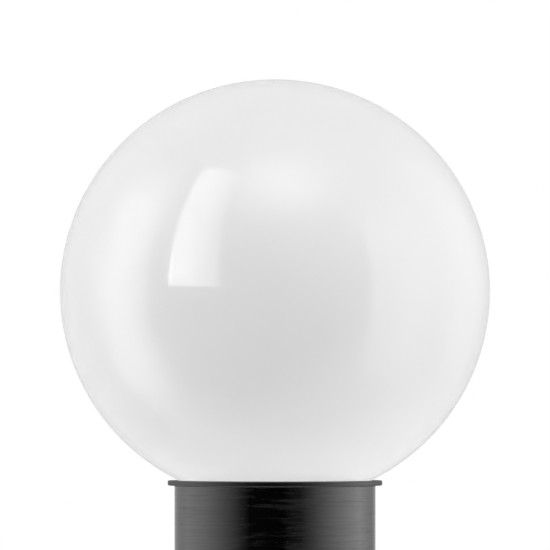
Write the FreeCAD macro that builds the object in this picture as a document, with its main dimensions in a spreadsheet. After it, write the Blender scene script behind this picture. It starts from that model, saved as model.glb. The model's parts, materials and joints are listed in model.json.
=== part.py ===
import FreeCAD, Part
import os
import re
import Sketcher

# Garden globe light for a post top. An opal glass globe screws by its neck into a ring in the
# mouth of a turned collar, and the collar slips over a post. Millimetres, +Z up, origin at the
# centre of the collar's foot.

os.makedirs("parts", exist_ok=True)
doc = FreeCAD.newDocument("garden_globe_light")

# ---------------------------------------------------------------- driving sizes

SIZES = {
    # globe
    "globe_d": 200.0,
    "globe_height": 197.0,
    "glass_wall": 3.0,
    "neck_ridge": 2.0,
    "neck_reach": 18.5,
    "neck_ridge_start": 1.0,
    "globe_pitch": 5.0,
    "globe_turns": 1.5,
    # collar
    "collar_height": 100.0,
    "collar_wall": 2.0,
    "lip_overhang": 3.15,
    "lip_thickness": 2.6,
    "lip_round": 0.6,
    "mouth_chamfer": 1.0,
    "mouth_gap": 0.825,
    "foot_round": 0.8,
    # thread ring and gasket
    "ring_height": 14.0,
    "ring_depth": 4.0,
    "ring_wall": 2.1,
    "thread_gap": 0.35,
    "ridge_root": 2.4,
    "ridge_crest": 1.2,
    "ridge_sink": 0.4,
    "seal_gap": 0.3,
    "gasket_margin": 0.5,
    # fits
    "seat_gap": 0.05,
    # post sleeve
    "sleeve_wall": 6.2,
    "post_depth": 55.0,
    "stop_thickness": 4.0,
    "stop_depth": 3.0,
    "stop_gap": 0.5,
    # grub screws
    "grub_height": 20.0,
    "grub_d": 8.0,
    "grub_recess": 0.3,
    "grub_key": 4.0,
    "grub_key_depth": 3.5,
    "grub_clearance_d": 9.0,
    "pad_d": 7.0,
    "pad_thickness": 2.0,
    "pad_recess": 0.2,
    # gear plate
    "plate_thickness": 2.0,
    "plate_margin": 0.75,
    "plate_screw_inset": 3.0,
    # lampholder
    "holder_d": 41.0,
    "holder_height": 43.0,
    "holder_floor": 14.0,
    "holder_foot_margin": 0.2,
    "holder_foot_height": 6.0,
    "holder_mouth_d": 34.0,
    "holder_mouth_depth": 8.0,
    "holder_screw_gap": 0.3,
    "shell_wall": 0.75,
    "contact_d": 8.0,
    "contact_stem_d": 4.0,
    "contact_height": 2.0,
    "contact_leaf": 0.6,
    # lamp cap and its thread
    "cap_thread_d": 26.2,
    "cap_ridge": 0.95,
    "cap_pitch": 3.629,
    "cap_turns": 1.5,
    "cap_gap": 0.35,
    "cap_ridge_root": 1.5,
    "cap_ridge_crest": 0.6,
    "cap_ridge_sink": 0.25,
    "cap_ridge_lift": 3.4,
    "cap_wall": 0.7,
    "cap_length": 16.4,
    # lamp
    "lamp_lift": 0.1,
    "pip_height": 1.5,
    "pip_d": 7.0,
    "insulator_height": 4.0,
    "insulator_foot_d": 10.4,
    "insulator_plug": 1.4,
    "lamp_length": 110.0,
    "lamp_d": 60.0,
    "lamp_wall": 1.5,
    "dome_cut": 11.0,
    "skirt_overlap": 1.5,
    "skirt_d": 27.2,
    "skirt_height": 6.5,
    "waist_d": 34.0,
    "waist_height": 14.5,
    "cheek_d": 48.0,
    "cheek_height": 32.5,
    "body_wall": 1.8,
    "board_thickness": 1.6,
    "board_ledge": 1.5,
    # terminals
    "block_length": 24.0,
    "block_depth": 13.0,
    "block_height": 13.0,
    "block_gap": 3.0,
    "pole_spacing": 12.0,
    "pole_height": 5.0,
    "clamp_d": 5.0,
    "clamp_bore_d": 3.0,
    "clamp_inset": 1.0,
    "clamp_screw_d": 2.5,
    "clamp_screw_head_d": 3.4,
    "clamp_screw_spacing": 6.0,
    "clamp_screw_sink": 1.0,
    "terminal_width": 6.0,
    "terminal_depth": 5.0,
    "terminal_height": 7.0,
    "wire_d": 2.4,
    # small screws
    "fixing_d": 4.0,
    "fixing_head_d": 7.0,
    "fixing_head_height": 2.4,
    "fixing_length": 10.0,
    "small_d": 3.0,
    "small_head_d": 5.5,
    "small_head_height": 1.9,
    "small_length": 8.0,
    "block_screw_length": 16.0,
    "slot_width": 0.9,
    "slot_depth": 1.0,
    "tap_gap": 0.05,
    "hole_gap": 0.25,
    # cable grommet
    "grommet_gap": 0.5,
    "grommet_d": 14.0,
    "grommet_groove_d": 10.0,
    "grommet_bore_d": 7.0,
    "grommet_flange": 1.5,
    # earth terminal
    "earth_inset": 3.5,
    "washer_d": 9.0,
    "washer_thickness": 0.8,
    "earth_screw_length": 6.0,
}

# ---------------------------------------------------------------- sizes that follow

DERIVED = {
    # outwards, from the lampholder to the collar, and in again to the globe's neck
    "holder_r": "holder_d / 2",
    "holder_screw_offset": "holder_r + fixing_head_d / 2 + holder_screw_gap",
    "holder_foot_r": "holder_screw_offset + fixing_head_d / 2 + holder_foot_margin",
    "block_near": "holder_r + block_gap",
    "block_middle": "block_near + block_depth / 2",
    "clamp_near": "block_near + clamp_inset",
    "clamp_length": "block_depth - 2 * clamp_inset",
    "terminal_face": "sqrt(holder_r^2 - (pole_spacing / 2 + terminal_width / 2)^2) - seat_gap",
    "grommet_offset": "holder_r + grommet_gap + grommet_d / 2",
    "stop_r": "grommet_offset + grommet_d / 2 + stop_gap",
    "earth_offset": "stop_r - earth_inset",
    "post_bore_r": "stop_r + stop_depth",
    "plate_screw_offset": "post_bore_r + plate_screw_inset",
    "sleeve_r": "post_bore_r + sleeve_wall",
    "collar_bore_r": "sleeve_r + seat_gap",
    "collar_r": "collar_bore_r + collar_wall",
    "mouth_r": "collar_bore_r + mouth_chamfer",
    "lip_r": "collar_r + lip_overhang",
    "plate_r": "collar_bore_r - plate_margin",
    "pad_start": "post_bore_r + pad_recess",
    "grub_start": "pad_start + pad_thickness",
    "grub_length": "collar_r - grub_recess - grub_start",
    "ring_r": "collar_bore_r - seat_gap",
    "ring_bore_r": "ring_r - ring_wall",
    "neck_thread_r": "ring_bore_r - thread_gap",
    "neck_r": "neck_thread_r - neck_ridge",
    "neck_bore_r": "neck_r - glass_wall",
    "ring_crest_r": "neck_r + thread_gap",
    "gasket_bore_r": "neck_r + gasket_margin",
    "gasket_r": "collar_bore_r - gasket_margin",
    # the globe
    "globe_r": "globe_d / 2",
    "globe_half": "globe_height / 2",
    "globe_middle": "collar_height + globe_half * sqrt(1 - ((mouth_r - mouth_gap) / globe_r)^2)",
    "neck_foot": "collar_height - neck_reach",
    "neck_ridge_base": "neck_foot + neck_ridge_start",
    # upwards through the collar
    "lip_under": "collar_height - lip_thickness",
    "ring_top": "collar_height - ring_depth",
    "ring_foot": "ring_top - ring_height",
    "sleeve_top": "post_depth + stop_thickness",
    "plate_top": "sleeve_top + plate_thickness",
    "foot_top": "plate_top + holder_foot_height",
    "cavity_floor": "plate_top + holder_floor",
    "holder_top": "plate_top + holder_height",
    "shell_top": "holder_top - holder_mouth_depth",
    "block_top": "plate_top + block_height",
    "pole_level": "plate_top + pole_height",
    "clamp_screw_foot": "pole_level + wire_d / 2 + tap_gap",
    "clamp_screw_top": "block_top - clamp_screw_sink",
    "terminal_floor": "pole_level - terminal_height / 2",
    # the lamp and the shell that its cap screws into
    "cap_r": "cap_thread_d / 2 - cap_ridge",
    "cap_bore_r": "cap_r - cap_wall",
    "shell_bore_r": "cap_thread_d / 2 + cap_gap",
    "shell_r": "shell_bore_r + shell_wall",
    "shell_crest_r": "cap_r + cap_gap",
    "lamp_foot": "cavity_floor + contact_height + lamp_lift",
    "insulator_foot": "lamp_foot + pip_height",
    "cap_foot": "insulator_foot + insulator_height",
    "cap_ridge_base": "cap_foot + cap_ridge_lift",
    "cap_top": "cap_foot + cap_length",
    "skirt_foot": "cap_top - skirt_overlap",
    "dome_middle": "lamp_foot + lamp_length - lamp_d / 2",
    "dome_foot": "dome_middle - dome_cut",
    "dome_rim_r": "sqrt((lamp_d / 2)^2 - dome_cut^2)",
}


def expand(text):
    """Write named sizes out as cells of the sheet."""

    def cell(match):
        word = match.group(0)
        if word in SIZES:
            return "Sizes." + word
        if word in DERIVED:
            return "(" + expand(DERIVED[word]) + ")"
        return word

    return re.sub(r"[a-z_]+", cell, text)


sheet = doc.addObject("Spreadsheet::Sheet", "Sizes")
for row, (name, size) in enumerate(SIZES.items(), start=1):
    sheet.set(f"A{row}", name)
    sheet.set(f"B{row}", str(size))
    sheet.setAlias(f"B{row}", name)
doc.recompute()


def value(text):
    """The number that an expression of named sizes comes to."""
    return float(sheet.evalExpression(expand(text)))


def bind(item, **sizes):
    """Tie an object's properties to expressions of named sizes."""
    for name, text in sizes.items():
        item.setExpression(name, expand(text))


def place(item, spot, rotation=None):
    """Put an object's own origin at a spot given by three expressions."""
    if rotation is not None:
        item.Placement = FreeCAD.Placement(FreeCAD.Vector(), rotation)
    for direction, text in zip("xyz", spot):
        item.setExpression("Placement.Base." + direction, expand(text))


# ---------------------------------------------------------------- ways of making

parts = {}


def named(node, item):
    """Take an object as the sub-part of this name."""
    item.Label = node
    parts[node] = item
    return item


def outline(body, name, corners):
    """A closed outline in the XZ plane, each corner held by two expressions."""
    sketch = body.newObject("Sketcher::SketchObject", name)
    plane = next(item for item in body.Origin.OriginFeatures if item.Role == "XZ_Plane")
    sketch.AttachmentSupport = [(plane, "")]
    sketch.MapMode = "FlatFace"
    spots = [FreeCAD.Vector(value(across), value(up), 0) for across, up in corners]
    count = len(spots)
    for index in range(count):
        sketch.addGeometry(Part.LineSegment(spots[index], spots[(index + 1) % count]))
    for index in range(count):
        sketch.addConstraint(Sketcher.Constraint("Coincident", index, 2, (index + 1) % count, 1))
    for index, corner in enumerate(corners):
        for kind, text in zip(("DistanceX", "DistanceY"), corner):
            rule = Sketcher.Constraint(kind, -1, 1, index, 1, value(text))
            number = sketch.addConstraint(rule)
            sketch.setExpression(f"Constraints[{number}]", expand(text))
    return sketch


def turned(name, corners):
    """A piece turned round the Z axis from a closed outline."""
    body = doc.addObject("PartDesign::Body", name)
    sketch = outline(body, name + "_outline", corners)
    turn = body.newObject("PartDesign::Revolution", name + "_turn")
    turn.Profile = (sketch, [""])
    turn.ReferenceAxis = (sketch, ["V_Axis"])
    turn.Angle = 360
    doc.recompute()
    return body


def ridged(body, root, crest, base, root_width, crest_width, sink, pitch, turns):
    """Add a right-hand helical ridge that rises from the radius root to the radius crest."""
    inward = value(crest) < value(root)
    inside = f"{root} + {sink}" if inward else f"{root} - {sink}"
    lean = f"({root_width} - {crest_width}) / 2"
    corners = [
        (inside, base),
        (root, base),
        (crest, f"{base} + {lean}"),
        (crest, f"{base} + {root_width} - {lean}"),
        (root, f"{base} + {root_width}"),
        (inside, f"{base} + {root_width}"),
    ]
    sketch = outline(body, body.Name + "_ridge_outline", corners)
    ridge = body.newObject("PartDesign::AdditiveHelix", body.Name + "_ridge")
    ridge.Profile = (sketch, [""])
    ridge.ReferenceAxis = (sketch, ["V_Axis"])
    ridge.Mode = "pitch-turns-angle"
    bind(ridge, Pitch=pitch, Turns=turns)
    doc.recompute()
    return body


def rounded(body, radius, rims):
    """Round the circular edges of the last feature at the given radii and levels."""
    base = body.Tip
    wanted = [(value(around), value(level)) for around, level in rims]
    edges = []
    for number, edge in enumerate(base.Shape.Edges, start=1):
        if isinstance(edge.Curve, Part.Circle):
            found = (edge.Curve.Radius, edge.Curve.Center.z)
            if any(abs(found[0] - r) < 1e-4 and abs(found[1] - z) < 1e-4 for r, z in wanted):
                edges.append(f"Edge{number}")
    fillet = body.newObject("PartDesign::Fillet", body.Name + "_round")
    fillet.Base = (base, edges)
    bind(fillet, Radius=radius)
    doc.recompute()
    return body


def rod(name, radius, length, spot=("0", "0", "0"), rotation=None):
    """A round rod that starts at a spot and runs along Z unless it is rotated."""
    item = doc.addObject("Part::Cylinder", name)
    bind(item, Radius=radius, Height=length)
    place(item, spot, rotation)
    return item


def box(name, lengths, spot):
    """A box whose lowest corner is at a spot."""
    item = doc.addObject("Part::Box", name)
    bind(item, Length=lengths[0], Width=lengths[1], Height=lengths[2])
    place(item, spot)
    return item


def fused(name, pieces):
    """Several shapes as one."""
    item = doc.addObject("Part::MultiFuse", name)
    item.Shapes = pieces
    return item


def cut(name, base, tools):
    """A shape with others taken out of it."""
    item = doc.addObject("Part::Cut", name)
    item.Base = base
    item.Tool = tools[0] if len(tools) == 1 else fused(name + "_tools", tools)
    return item


def around(radius, angle, level):
    """A spot at an angle round the Z axis, in degrees."""
    return (f"({radius}) * cos({angle})", f"({radius}) * sin({angle})", level)


def facing(angle, tilt=90):
    """The turn that lays a Z axis over towards an angle round the Z axis."""
    across = FreeCAD.Rotation(FreeCAD.Vector(0, 0, 1), angle)
    return across.multiply(FreeCAD.Rotation(FreeCAD.Vector(0, 1, 0), tilt))


def screw(node, spot, shank_d, head_d, head_height, length):
    """A slotted cheese-head screw that points down, its head's underside at a spot."""
    shank = rod(node + "_shank", f"{shank_d} / 2", f"{length} + {head_height} / 2")
    place(shank, ("0", "0", f"-({length})"))
    head = rod(node + "_head", f"{head_d} / 2", head_height)
    slot_floor = f"{head_height} - slot_depth"
    slot_lengths = (f"{head_d} + 1", "slot_width", "slot_depth + 1")
    slot = box(node + "_slot", slot_lengths, (f"-({head_d} + 1) / 2", "-slot_width / 2", slot_floor))
    item = cut(node, fused(node + "_blank", [shank, head]), [slot])
    place(item, spot)
    return named(node, item)


GRUB_ANGLES = (90, 210, 330)
PLATE_SCREW_ANGLES = (30, 150, 270)
SIDES = (-1, 1)
ALONG_Y = FreeCAD.Rotation(FreeCAD.Vector(1, 0, 0), -90)
UPSIDE_DOWN = FreeCAD.Rotation(FreeCAD.Vector(1, 0, 0), 180)

# ---------------------------------------------------------------- collar
# Turned and brushed aluminium tube with a thin lip at its mouth, open at both ends, with a
# clearance hole low down for each grub screw.

collar_blank = turned("collar_blank", [
    ("collar_bore_r", "0"),
    ("collar_r", "0"),
    ("collar_r", "lip_under"),
    ("lip_r", "lip_under"),
    ("lip_r", "collar_height"),
    ("mouth_r", "collar_height"),
    ("collar_bore_r", "collar_height - mouth_chamfer"),
])
rounded(collar_blank, "lip_round", [("lip_r", "lip_under"), ("lip_r", "collar_height")])
rounded(collar_blank, "foot_round", [("collar_r", "0")])
grub_openings = [
    rod(
        f"grub_opening_{number}",
        "grub_clearance_d / 2",
        "2 * collar_wall",
        around("collar_r - 1.5 * collar_wall", angle, "grub_height"),
        facing(angle),
    )
    for number, angle in enumerate(GRUB_ANGLES, start=1)
]
named("collar", cut("collar", collar_blank, grub_openings))

# ---------------------------------------------------------------- thread ring
# Ring pressed into the collar's mouth. The globe's neck screws into its inner ridge, which
# lies half a pitch above the ridge of the glass.

thread_ring = turned("thread_ring", [
    ("ring_bore_r", "ring_foot"),
    ("ring_r", "ring_foot"),
    ("ring_r", "ring_top"),
    ("ring_bore_r", "ring_top"),
])
ridged(
    thread_ring,
    root="ring_bore_r",
    crest="ring_crest_r",
    base="neck_ridge_base + globe_pitch / 2",
    root_width="ridge_root",
    crest_width="ridge_crest",
    sink="ridge_sink",
    pitch="globe_pitch",
    turns="globe_turns",
)
named("thread_ring", thread_ring)

# ---------------------------------------------------------------- globe gasket
# Rubber ring on top of the thread ring. Its top follows the slope of the globe's shoulder.


def shoulder(radius):
    """The level of the globe's outer surface, below its middle, at a radius."""
    return f"(globe_middle - globe_half * sqrt(1 - ({radius} / globe_r)^2))"


named("globe_gasket", turned("globe_gasket", [
    ("gasket_bore_r", "ring_top"),
    ("gasket_r", "ring_top"),
    ("gasket_r", shoulder("gasket_r") + " - seal_gap - thread_gap"),
    ("gasket_bore_r", shoulder("gasket_bore_r") + " - seal_gap"),
]))

# ---------------------------------------------------------------- globe
# Blown opal glass: a slightly flattened sphere of even wall, open at a straight neck that
# carries one raised ridge of thread. It is held as a bowl with the neck and a dome on it,
# which meet at the globe's widest level.

neck_blank = turned("neck_blank", [
    ("neck_bore_r", "neck_foot"),
    ("neck_r", "neck_foot"),
    ("neck_r", "collar_height"),
    ("neck_bore_r", "collar_height"),
])
ridged(
    neck_blank,
    root="neck_r",
    crest="neck_thread_r",
    base="neck_ridge_base",
    root_width="ridge_root",
    crest_width="ridge_crest",
    sink="ridge_sink",
    pitch="globe_pitch",
    turns="globe_turns",
)
globe_outside = doc.addObject("Part::Ellipsoid", "globe_outside")
bind(globe_outside, Radius1="globe_half", Radius2="globe_r", Radius3="globe_r")
place(globe_outside, ("0", "0", "globe_middle"))
globe_inside = doc.addObject("Part::Ellipsoid", "globe_inside")
bind(
    globe_inside,
    Radius1="globe_half - glass_wall",
    Radius2="globe_r - glass_wall",
    Radius3="globe_r - glass_wall",
)
place(globe_inside, ("0", "0", "globe_middle"))
neck_opening = rod("neck_opening", "neck_bore_r", "globe_middle - neck_foot", ("0", "0", "neck_foot - 1"))
globe_blank = fused("globe_blank", [globe_outside, neck_blank])
globe_shell = cut("globe_shell", globe_blank, [globe_inside, neck_opening])
globe_centre = ("0", "0", "globe_middle")
upper_half = rod("upper_half", "globe_r + 1", "globe_height", globe_centre)
lower_half = rod("lower_half", "globe_r + 1", "globe_height", globe_centre, UPSIDE_DOWN)
named("globe_bowl", cut("globe_bowl", globe_shell, [upper_half]))
named("globe_dome", cut("globe_dome", globe_shell, [lower_half]))

# ---------------------------------------------------------------- post sleeve
# Cast aluminium sleeve inside the collar's foot. The post slides up its bore as far as the
# inward stop, and the sleeve's wall holds the threads of the grub screws.

sleeve_blank = turned("sleeve_blank", [
    ("post_bore_r", "0"),
    ("sleeve_r", "0"),
    ("sleeve_r", "sleeve_top"),
    ("stop_r", "sleeve_top"),
    ("stop_r", "post_depth"),
    ("post_bore_r", "post_depth"),
])
sleeve_tools = [
    rod(
        f"grub_thread_{number}",
        "grub_d / 2 + tap_gap",
        "sleeve_r - post_bore_r + 4",
        around("post_bore_r - 2", angle, "grub_height"),
        facing(angle),
    )
    for number, angle in enumerate(GRUB_ANGLES, start=1)
]
for number, angle in enumerate(PLATE_SCREW_ANGLES, start=1):
    sleeve_tools.append(rod(
        f"sleeve_tap_{number}",
        "small_d / 2 + tap_gap",
        "small_length + 2",
        around("plate_screw_offset", angle, "sleeve_top - small_length - 1"),
    ))
named("post_sleeve", cut("post_sleeve", sleeve_blank, sleeve_tools))

# ---------------------------------------------------------------- grub screws and pads
# Three hexagon-socket grub screws, each pushing a brass pad that keeps the post unmarked.

for number, angle in enumerate(GRUB_ANGLES, start=1):
    thread = rod(f"grub_blank_{number}", "grub_d / 2", "grub_length")
    socket = doc.addObject("Part::Prism", f"grub_socket_{number}")
    socket.Polygon = 6
    bind(socket, Circumradius="grub_key / sqrt(3)", Height="grub_key_depth + 1")
    place(socket, ("0", "0", "grub_length - grub_key_depth"))
    grub = cut(f"grub_screw_{number}", thread, [socket])
    place(grub, around("grub_start", angle, "grub_height"), facing(angle))
    named(f"grub_screw_{number}", grub)
    pad = rod(
        f"grub_pad_{number}",
        "pad_d / 2",
        "pad_thickness",
        around("pad_start", angle, "grub_height"),
        facing(angle),
    )
    named(f"grub_pad_{number}", pad)

# ---------------------------------------------------------------- gear plate
# Steel disc screwed down on the sleeve. It carries the lampholder, the terminals, the cable
# grommet and the earth screw.

EARTH_ANGLE = 300
plate_blank = rod("plate_blank", "plate_r", "plate_thickness", ("0", "0", "sleeve_top"))
below_plate = "sleeve_top - 1"
through_plate = "plate_thickness + 2"
plate_tools = [
    rod(
        f"plate_hole_{number}",
        "small_d / 2 + hole_gap",
        through_plate,
        around("plate_screw_offset", angle, below_plate),
    )
    for number, angle in enumerate(PLATE_SCREW_ANGLES, start=1)
]
for side in SIDES:
    plate_tools.append(rod(
        f"holder_tap_{'left' if side < 0 else 'right'}",
        "fixing_d / 2 + tap_gap",
        through_plate,
        (f"{side} * holder_screw_offset", "0", below_plate),
    ))
plate_tools.append(rod(
    "grommet_hole",
    "grommet_groove_d / 2 + tap_gap",
    through_plate,
    ("0", "-grommet_offset", below_plate),
))
plate_tools.append(rod(
    "block_tap",
    "small_d / 2 + tap_gap",
    through_plate,
    ("0", "block_middle", below_plate),
))
plate_tools.append(rod(
    "earth_tap",
    "fixing_d / 2 + tap_gap",
    through_plate,
    around("earth_offset", EARTH_ANGLE, below_plate),
))
named("gear_plate", cut("gear_plate", plate_blank, plate_tools))
for number, angle in enumerate(PLATE_SCREW_ANGLES, start=1):
    screw(
        f"plate_screw_{number}",
        around("plate_screw_offset", angle, "plate_top"),
        "small_d",
        "small_head_d",
        "small_head_height",
        "small_length + plate_thickness",
    )

# ---------------------------------------------------------------- lampholder
# Glazed porcelain holder with a flanged foot that is cut flat on two sides. Its cavity takes
# the threaded shell, with a wider mouth above, and two pockets take the terminals.

holder_blank = turned("holder_blank", [
    ("0", "plate_top"),
    ("holder_foot_r", "plate_top"),
    ("holder_foot_r", "foot_top"),
    ("holder_r", "foot_top"),
    ("holder_r", "holder_top"),
    ("holder_mouth_d / 2", "holder_top"),
    ("holder_mouth_d / 2", "shell_top"),
    ("shell_r + seat_gap", "shell_top"),
    ("shell_r + seat_gap", "cavity_floor"),
    ("0", "cavity_floor"),
])
holder_tools = []
for side in SIDES:
    hand = "left" if side < 0 else "right"
    corner = "holder_r" if side > 0 else "-holder_r - 2 * holder_foot_r"
    holder_tools.append(box(
        f"foot_flat_{hand}",
        ("4 * holder_foot_r", "2 * holder_foot_r", "holder_foot_height"),
        ("-2 * holder_foot_r", corner, "plate_top"),
    ))
    holder_tools.append(rod(
        f"foot_hole_{hand}",
        "fixing_d / 2 + hole_gap",
        "holder_foot_height + 2",
        (f"{side} * holder_screw_offset", "0", "plate_top - 1"),
    ))
    holder_tools.append(box(
        f"terminal_pocket_{hand}",
        ("terminal_width + 2 * seat_gap", "holder_d", "terminal_height + 2 * seat_gap"),
        (
            f"{side} * pole_spacing / 2 - terminal_width / 2 - seat_gap",
            "terminal_face - terminal_depth - seat_gap",
            "terminal_floor - seat_gap",
        ),
    ))
named("lampholder_body", cut("lampholder_body", holder_blank, holder_tools))

lampholder_shell = turned("lampholder_shell", [
    ("shell_bore_r", "cavity_floor"),
    ("shell_r", "cavity_floor"),
    ("shell_r", "shell_top"),
    ("shell_bore_r", "shell_top"),
])
ridged(
    lampholder_shell,
    root="shell_bore_r",
    crest="shell_crest_r",
    base="cap_ridge_base + cap_pitch / 2",
    root_width="cap_ridge_root",
    crest_width="cap_ridge_crest",
    sink="cap_ridge_sink",
    pitch="cap_pitch",
    turns="cap_turns",
)
named("lampholder_shell", lampholder_shell)

named("lampholder_contact", turned("lampholder_contact", [
    ("0", "cavity_floor"),
    ("contact_stem_d / 2", "cavity_floor"),
    ("contact_stem_d / 2", "cavity_floor + contact_height - contact_leaf"),
    ("contact_d / 2", "cavity_floor + contact_height - contact_leaf"),
    ("contact_d / 2", "cavity_floor + contact_height"),
    ("0", "cavity_floor + contact_height"),
]))

for side in SIDES:
    hand = "left" if side < 0 else "right"
    screw(
        f"lampholder_screw_{hand}",
        (f"{side} * holder_screw_offset", "0", "foot_top"),
        "fixing_d",
        "fixing_head_d",
        "fixing_head_height",
        "fixing_length",
    )
    terminal = box(
        f"terminal_brass_{hand}",
        ("terminal_width", "terminal_depth", "terminal_height"),
        (
            f"{side} * pole_spacing / 2 - terminal_width / 2",
            "terminal_face - terminal_depth",
            "terminal_floor",
        ),
    )
    wire_hole = rod(
        f"terminal_hole_{hand}",
        "wire_d / 2 + tap_gap",
        "terminal_depth + 2",
        (f"{side} * pole_spacing / 2", "terminal_face - terminal_depth - 1", "pole_level"),
        ALONG_Y,
    )
    node = f"lampholder_terminal_{hand}"
    named(node, cut(node, terminal, [wire_hole]))

# ---------------------------------------------------------------- terminal block
# Moulded housing screwed to the gear plate, with a brass clamp and two screws for each pole.

block_blank = box(
    "block_blank",
    ("block_length", "block_depth", "block_height"),
    ("-block_length / 2", "block_near", "plate_top"),
)
block_tools = [rod(
    "block_hole",
    "small_d / 2 + hole_gap",
    "block_height + 2",
    ("0", "block_middle", "plate_top - 1"),
)]
for side in SIDES:
    hand = "left" if side < 0 else "right"
    across = f"{side} * pole_spacing / 2"
    block_tools.append(rod(
        f"pole_bore_{hand}",
        "clamp_d / 2 + seat_gap",
        "block_depth + 2",
        (across, "block_near - 1", "pole_level"),
        ALONG_Y,
    ))
    clamp = rod(
        f"clamp_blank_{hand}",
        "clamp_d / 2",
        "clamp_length",
        (across, "clamp_near", "pole_level"),
        ALONG_Y,
    )
    clamp_tools = [rod(
        f"clamp_bore_{hand}",
        "clamp_bore_d / 2",
        "clamp_length + 2",
        (across, "clamp_near - 1", "pole_level"),
        ALONG_Y,
    )]
    for step in SIDES:
        end = "near" if step < 0 else "far"
        spot = (across, f"block_middle + {step} * clamp_screw_spacing / 2", "pole_level")
        block_tools.append(rod(
            f"screw_well_{hand}_{end}",
            "clamp_screw_head_d / 2 + seat_gap",
            "block_height",
            spot,
        ))
        clamp_tools.append(rod(
            f"clamp_tap_{hand}_{end}",
            "clamp_screw_d / 2 + tap_gap",
            "clamp_d",
            spot,
        ))
        head_under = "clamp_screw_top - small_head_height"
        screw(
            f"terminal_screw_{hand}_{end}",
            (spot[0], spot[1], head_under),
            "clamp_screw_d",
            "clamp_screw_head_d",
            "small_head_height",
            f"{head_under} - clamp_screw_foot",
        )
    named(f"terminal_clamp_{hand}", cut(f"terminal_clamp_{hand}", clamp, clamp_tools))
    wire = rod(
        f"wire_{hand}",
        "wire_d / 2",
        "block_middle - terminal_face + terminal_depth",
        (across, "terminal_face - terminal_depth", "pole_level"),
        ALONG_Y,
    )
    named("wire_live" if side < 0 else "wire_neutral", wire)
named("terminal_block", cut("terminal_block", block_blank, block_tools))
screw(
    "terminal_block_screw",
    ("0", "block_middle", "block_top"),
    "small_d",
    "small_head_d",
    "small_head_height",
    "block_screw_length",
)

# ---------------------------------------------------------------- cable grommet
# Rubber grommet in the gear plate, where the supply comes up from the post.

grommet = turned("grommet", [
    ("grommet_bore_d / 2", "sleeve_top - grommet_flange"),
    ("grommet_d / 2", "sleeve_top - grommet_flange"),
    ("grommet_d / 2", "sleeve_top"),
    ("grommet_groove_d / 2", "sleeve_top"),
    ("grommet_groove_d / 2", "plate_top"),
    ("grommet_d / 2", "plate_top"),
    ("grommet_d / 2", "plate_top + grommet_flange"),
    ("grommet_bore_d / 2", "plate_top + grommet_flange"),
])
place(grommet, ("0", "-grommet_offset", "0"))
named("grommet", grommet)

# ---------------------------------------------------------------- earth terminal
# Screw and washer that clamp the earth conductor to the gear plate.

washer_blank = rod("washer_blank", "washer_d / 2", "washer_thickness")
washer_hole = rod("washer_hole", "fixing_d / 2 + hole_gap", "washer_thickness + 2", ("0", "0", "-1"))
washer = cut("earth_washer", washer_blank, [washer_hole])
place(washer, around("earth_offset", EARTH_ANGLE, "plate_top"))
named("earth_washer", washer)
screw(
    "earth_screw",
    around("earth_offset", EARTH_ANGLE, "plate_top + washer_thickness"),
    "fixing_d",
    "fixing_head_d",
    "fixing_head_height",
    "earth_screw_length",
)

# ---------------------------------------------------------------- lamp
# Screw-cap lamp: contact, insulator, threaded cap, flared housing, board and opal dome.

named("lamp_contact", turned("lamp_contact", [
    ("0", "lamp_foot"),
    ("pip_d / 2", "lamp_foot"),
    ("insulator_foot_d / 2", "insulator_foot"),
    ("0", "insulator_foot"),
]))

named("lamp_insulator", turned("lamp_insulator", [
    ("0", "insulator_foot"),
    ("insulator_foot_d / 2", "insulator_foot"),
    ("cap_bore_r - seat_gap", "cap_foot"),
    ("cap_bore_r - seat_gap", "cap_foot + insulator_plug"),
    ("0", "cap_foot + insulator_plug"),
]))

lamp_cap = turned("lamp_cap", [
    ("cap_bore_r", "cap_foot"),
    ("cap_r", "cap_foot"),
    ("cap_r", "cap_top"),
    ("cap_bore_r", "cap_top"),
])
ridged(
    lamp_cap,
    root="cap_r",
    crest="cap_thread_d / 2",
    base="cap_ridge_base",
    root_width="cap_ridge_root",
    crest_width="cap_ridge_crest",
    sink="cap_ridge_sink",
    pitch="cap_pitch",
    turns="cap_turns",
)
named("lamp_cap", lamp_cap)

skirt_bore_r = "cap_r + seat_gap"
rim_r = "dome_rim_r + seat_gap"
board_seat = "dome_foot - board_thickness - seat_gap"
named("lamp_body", turned("lamp_body", [
    (skirt_bore_r, "skirt_foot"),
    ("skirt_d / 2", "skirt_foot"),
    ("skirt_d / 2", "skirt_foot + skirt_height"),
    ("waist_d / 2", "skirt_foot + waist_height"),
    ("cheek_d / 2", "skirt_foot + cheek_height"),
    (rim_r, "dome_foot"),
    (f"{rim_r} - body_wall", "dome_foot"),
    (f"{rim_r} - body_wall", board_seat),
    (f"{rim_r} - body_wall - board_ledge", board_seat),
    ("cheek_d / 2 - body_wall", "skirt_foot + cheek_height"),
    ("waist_d / 2 - body_wall", "skirt_foot + waist_height"),
    (skirt_bore_r, "skirt_foot + skirt_height"),
]))

lamp_board = rod(
    "lamp_board",
    f"{rim_r} - body_wall - seat_gap",
    "board_thickness",
    ("0", "0", board_seat),
)
named("lamp_board", lamp_board)

dome_outside = doc.addObject("Part::Sphere", "dome_outside")
bind(dome_outside, Radius="lamp_d / 2")
place(dome_outside, ("0", "0", "dome_middle"))
dome_inside = doc.addObject("Part::Sphere", "dome_inside")
bind(dome_inside, Radius="lamp_d / 2 - lamp_wall")
place(dome_inside, ("0", "0", "dome_middle"))
below_dome = rod("below_dome", "lamp_d", "lamp_d", ("0", "0", "dome_foot - lamp_d"))
named("lamp_diffuser", cut("lamp_diffuser", dome_outside, [dome_inside, below_dome]))

# ---------------------------------------------------------------- check and write

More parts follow.
